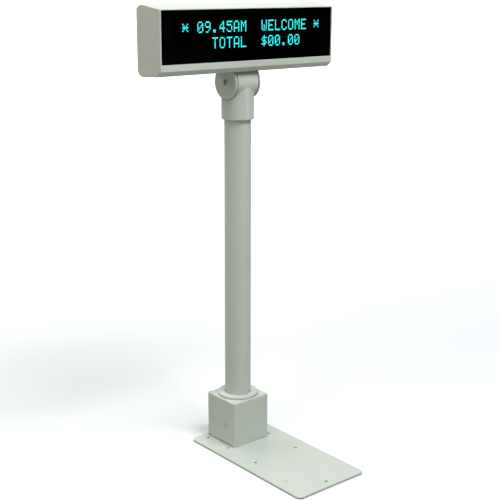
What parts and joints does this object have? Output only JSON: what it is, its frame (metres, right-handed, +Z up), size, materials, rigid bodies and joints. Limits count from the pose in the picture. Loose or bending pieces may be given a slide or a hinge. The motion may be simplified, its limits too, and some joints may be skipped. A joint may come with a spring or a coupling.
{
  "type": "customer pole display",
  "caption": "Two-line character display in a long shallow case that tilts and swivels on a round pole, standing on a folded steel box and a long flat counter plate.",
  "frame": {"origin": "on the pole's axis at the underside of the counter plate", "axes": "+Z up along the pole, -Y the way the display faces, +X along the display's width to the right as seen from the front"},
  "size_m": [0.2368, 0.1889, 0.503],
  "materials": {
    "putty_paint": "satin powder coat",
    "putty_plastic": "fine moulded texture",
    "smoked_filter": "polished smoked acrylic",
    "zinc_steel": "zinc plated",
    "black_rubber": "matt",
    "white_nylon": "smooth nylon",
    "tube_glass": "clear glass with a dark coating",
    "green_board": "solder mask",
    "black_resin": "moulded resin"
  },
  "bodies": {
    "base": {"base_plate": "putty_paint", "base_box": "putty_paint", "box_screw_1": "zinc_steel", "box_screw_2": "zinc_steel", "box_screw_3": "zinc_steel", "box_screw_4": "zinc_steel", "box_nut_1": "zinc_steel", "box_nut_2": "zinc_steel", "box_nut_3": "zinc_steel", "box_nut_4": "zinc_steel", "cable_grommet": "black_rubber", "pole_flange": "putty_paint", "flange_nut": "zinc_steel", "pole_grub_screw_1": "zinc_steel", "pole_grub_screw_2": "zinc_steel", "pole_tube": "putty_paint", "pole_plug": "white_nylon"},
    "swivel": {"tee_housing": "putty_plastic", "swivel_bush": "white_nylon", "swivel_stop_screw": "zinc_steel", "hinge_cap_left": "putty_plastic", "hinge_cap_right": "putty_plastic", "spacer_tube": "zinc_steel", "friction_washer_1": "black_resin", "friction_washer_2": "black_resin", "tilt_bolt": "zinc_steel", "spring_washer": "zinc_steel", "tilt_nut": "zinc_steel"},
    "head": {"tilt_bracket": "zinc_steel", "bracket_screw_1": "zinc_steel", "bracket_screw_2": "zinc_steel", "head_housing": "putty_plastic", "rear_cover": "putty_plastic", "cover_screw_1": "zinc_steel", "cover_screw_2": "zinc_steel", "cover_screw_3": "zinc_steel", "cover_screw_4": "zinc_steel", "filter_window": "smoked_filter", "window_gasket": "black_rubber", "display_front_glass": "tube_glass", "display_back_glass": "tube_glass", "display_leads": "zinc_steel", "display_board": "green_board", "board_screw_1": "zinc_steel", "board_screw_2": "zinc_steel", "board_screw_3": "zinc_steel", "board_screw_4": "zinc_steel", "driver_chip_1": "black_resin", "driver_chip_2": "black_resin", "driver_chip_3": "black_resin", "converter_coil": "black_resin", "filter_capacitor_1": "black_resin", "filter_capacitor_2": "black_resin", "cable_header": "white_nylon"}
  },
  "joints": [
    {"name": "pole_swivel", "type": "hinge", "parent": "base", "child": "swivel", "pos_m": [0, 0, 0.3895], "axis": [0, 0, 1], "range_deg": [-165, 165]},
    {"name": "head_tilt", "type": "hinge", "parent": "swivel", "child": "head", "pos_m": [0, 0, 0.4196], "axis": [1, 0, 0], "range_deg": [-35, 20]}
  ]
}
